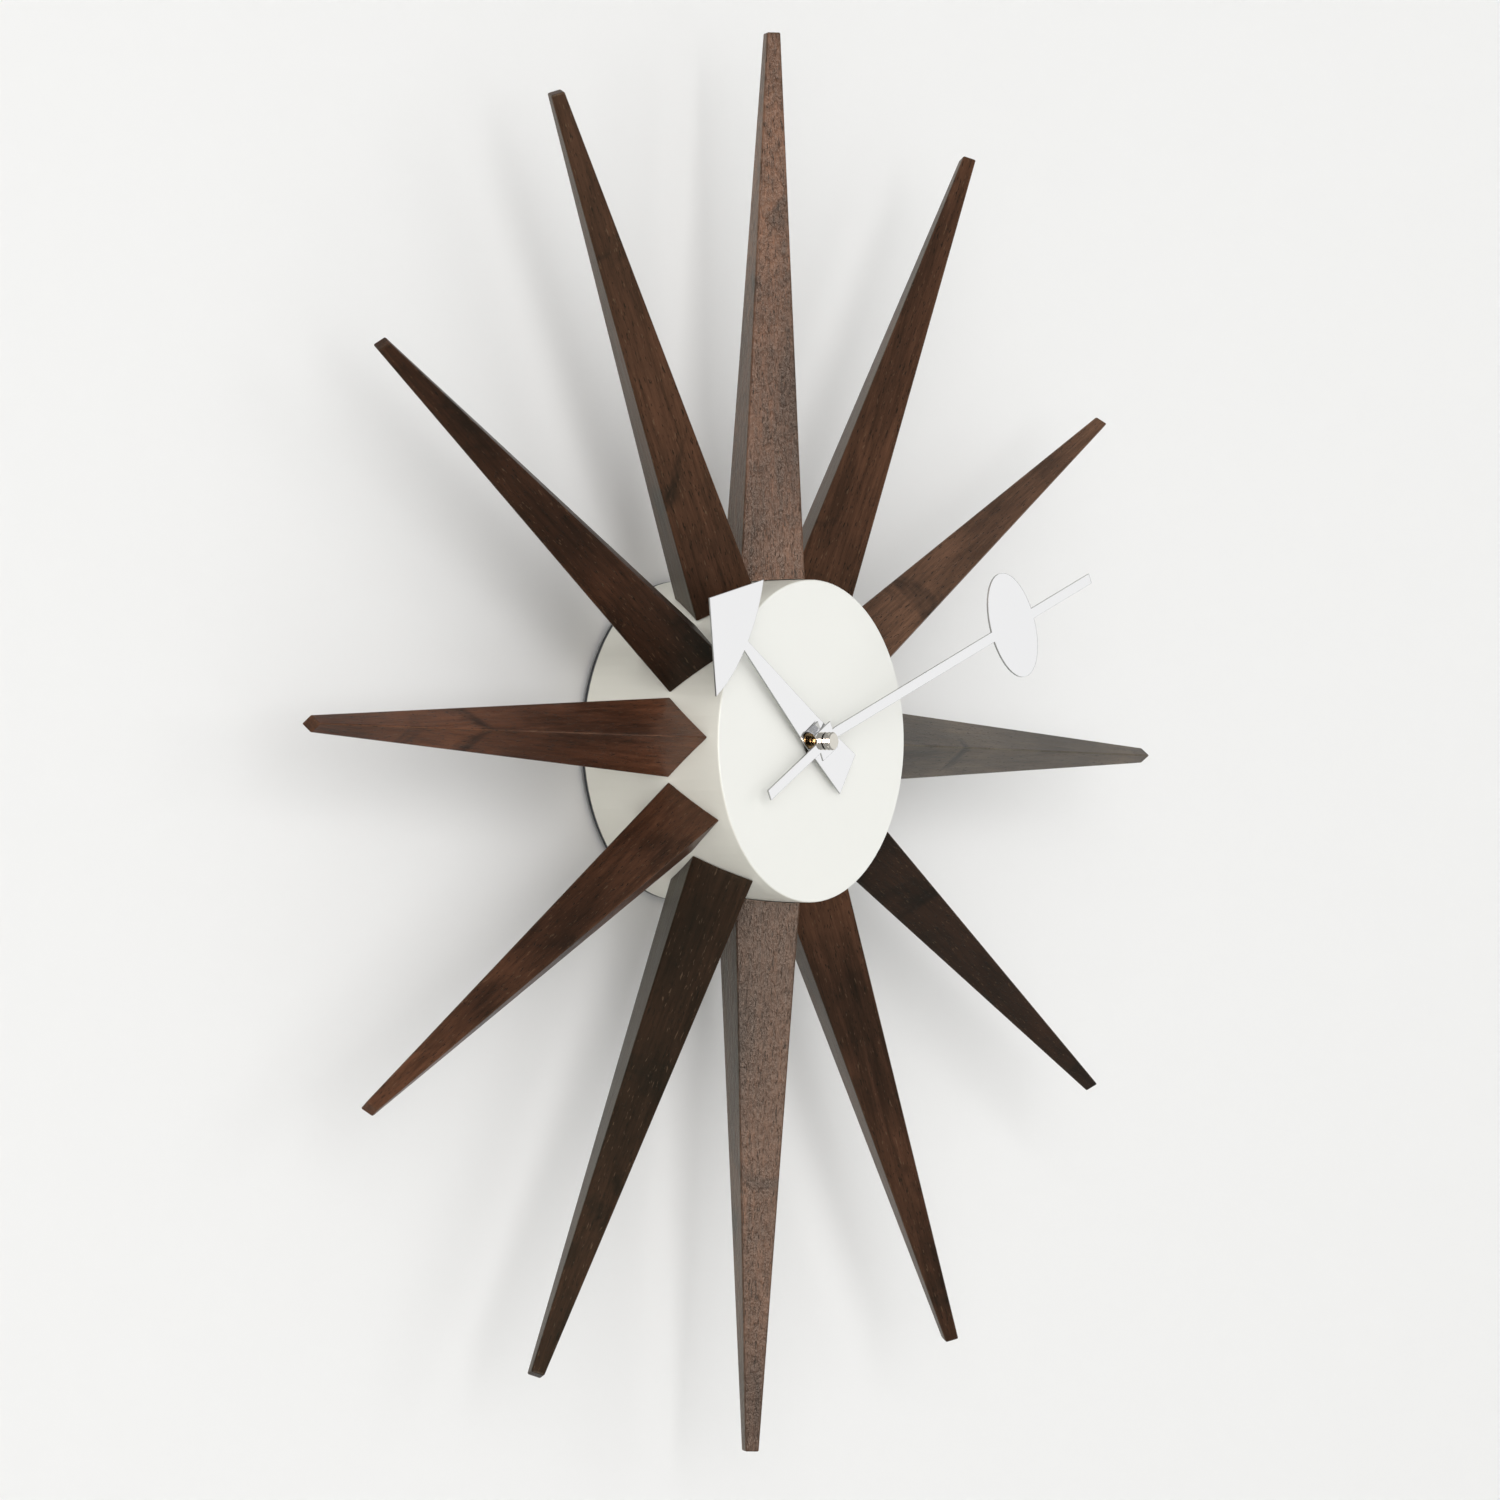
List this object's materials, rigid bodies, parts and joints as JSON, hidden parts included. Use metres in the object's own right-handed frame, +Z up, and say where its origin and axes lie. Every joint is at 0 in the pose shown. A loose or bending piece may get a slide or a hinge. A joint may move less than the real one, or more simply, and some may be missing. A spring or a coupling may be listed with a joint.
{
  "type": "sunburst wall clock",
  "caption": "Sunburst wall clock: tapered walnut spikes around a white painted drum, polished sheet hands over the bare dial, and a battery movement behind.",
  "frame": {"origin": "on the clock's axis, on the rear face of the hanger strip, which is the wall's plane", "axes": "+Z up, towards 12 o'clock; +X towards 3 o'clock; +Y into the wall, so the dial faces -Y"},
  "size_m": [0.47, 0.1001, 0.47],
  "materials": {
    "white_paint": "satin, warm off-white",
    "walnut": "oiled, satin, grain along the spike",
    "zinc": "zinc plated",
    "bright_metal": "mirror polished",
    "chrome": "polished",
    "brass": "turned, satin",
    "steel": "bare sheet",
    "magnet": "ground magnet on a moulded staff",
    "copper": "enamelled copper wire",
    "black_plastic": "moulded",
    "white_plastic": "moulded",
    "rubber": "matt",
    "board": "green laminate",
    "battery_wrap": "plain printed sleeve"
  },
  "bodies": {
    "clock_body": {"drum_housing": "white_paint", "spike_01": "walnut", "spike_02": "walnut", "spike_03": "walnut", "spike_04": "walnut", "spike_05": "walnut", "spike_06": "walnut", "spike_07": "walnut", "spike_08": "walnut", "spike_09": "walnut", "spike_10": "walnut", "spike_11": "walnut", "spike_12": "walnut", "spike_screw_01": "zinc", "spike_screw_02": "zinc", "spike_screw_03": "zinc", "spike_screw_04": "zinc", "spike_screw_05": "zinc", "spike_screw_06": "zinc", "spike_screw_07": "zinc", "spike_screw_08": "zinc", "spike_screw_09": "zinc", "spike_screw_10": "zinc", "spike_screw_11": "zinc", "spike_screw_12": "zinc", "hanger_bar": "zinc", "movement_front_case": "black_plastic", "gear_plate": "white_plastic", "movement_rear_cover": "black_plastic", "threaded_bush": "brass", "rubber_gasket": "rubber", "dial_washer": "brass", "centre_nut": "brass", "stator": "steel", "coil": "copper", "coil_core": "steel", "circuit_board": "board", "quartz_crystal": "zinc", "battery": "battery_wrap", "contact_positive": "zinc", "contact_negative": "zinc"},
    "minute": {"minute_hand": "bright_metal", "cap_nut": "chrome", "minute_arbor": "brass"},
    "hour": {"hour_hand": "bright_metal", "hour_wheel": "brass"},
    "motion": {"motion_wheel": "white_plastic"},
    "knob": {"setting_knob": "white_plastic"},
    "centre": {"centre_wheel": "brass"},
    "third": {"third_wheel": "white_plastic"},
    "seconds": {"seconds_wheel": "white_plastic"},
    "fifth": {"fifth_wheel": "white_plastic"},
    "step_rotor": {"rotor": "magnet"}
  },
  "joints": [
    {"name": "minute_turn", "type": "hinge", "parent": "clock_body", "child": "minute", "pos_m": [0, -0.055, 0], "axis": [0, 1, 0], "continuous": true},
    {"name": "hour_turn", "type": "hinge", "parent": "clock_body", "child": "hour", "pos_m": [0, -0.055, 0], "axis": [0, 1, 0], "continuous": true},
    {"name": "motion_turn", "type": "hinge", "parent": "clock_body", "child": "motion", "pos_m": [-0.0096, -0.05, 0], "axis": [0, 1, 0], "continuous": true},
    {"name": "knob_turn", "type": "hinge", "parent": "clock_body", "child": "knob", "pos_m": [-0.01791, -0.045, -0.0048], "axis": [0, 1, 0], "continuous": true},
    {"name": "seconds_turn", "type": "hinge", "parent": "clock_body", "child": "seconds", "pos_m": [0, -0.044, 0], "axis": [0, 1, 0], "continuous": true},
    {"name": "centre_turn", "type": "hinge", "parent": "clock_body", "child": "centre", "pos_m": [0, -0.046, 0], "axis": [0, 1, 0], "continuous": true},
    {"name": "third_turn", "type": "hinge", "parent": "clock_body", "child": "third", "pos_m": [-0.00721, -0.045, 0.00721], "axis": [0, 1, 0], "continuous": true},
    {"name": "fifth_turn", "type": "hinge", "parent": "clock_body", "child": "fifth", "pos_m": [0, -0.043, -0.01044], "axis": [0, 1, 0], "continuous": true},
    {"name": "rotor_turn", "type": "hinge", "parent": "clock_body", "child": "step_rotor", "pos_m": [-0.00789, -0.045, -0.01331], "axis": [0, 1, 0], "continuous": true}
  ],
  "couplings": [
    {"joint": "hour_turn", "follows": "minute_turn", "ratio": 0.083333},
    {"joint": "motion_turn", "follows": "minute_turn", "ratio": -0.33333},
    {"joint": "knob_turn", "follows": "minute_turn", "ratio": 1},
    {"joint": "fifth_turn", "follows": "rotor_turn", "ratio": -0.16667},
    {"joint": "seconds_turn", "follows": "rotor_turn", "ratio": 0.033333},
    {"joint": "third_turn", "follows": "rotor_turn", "ratio": -0.0041667},
    {"joint": "centre_turn", "follows": "rotor_turn", "ratio": 0.00055556}
  ]
}
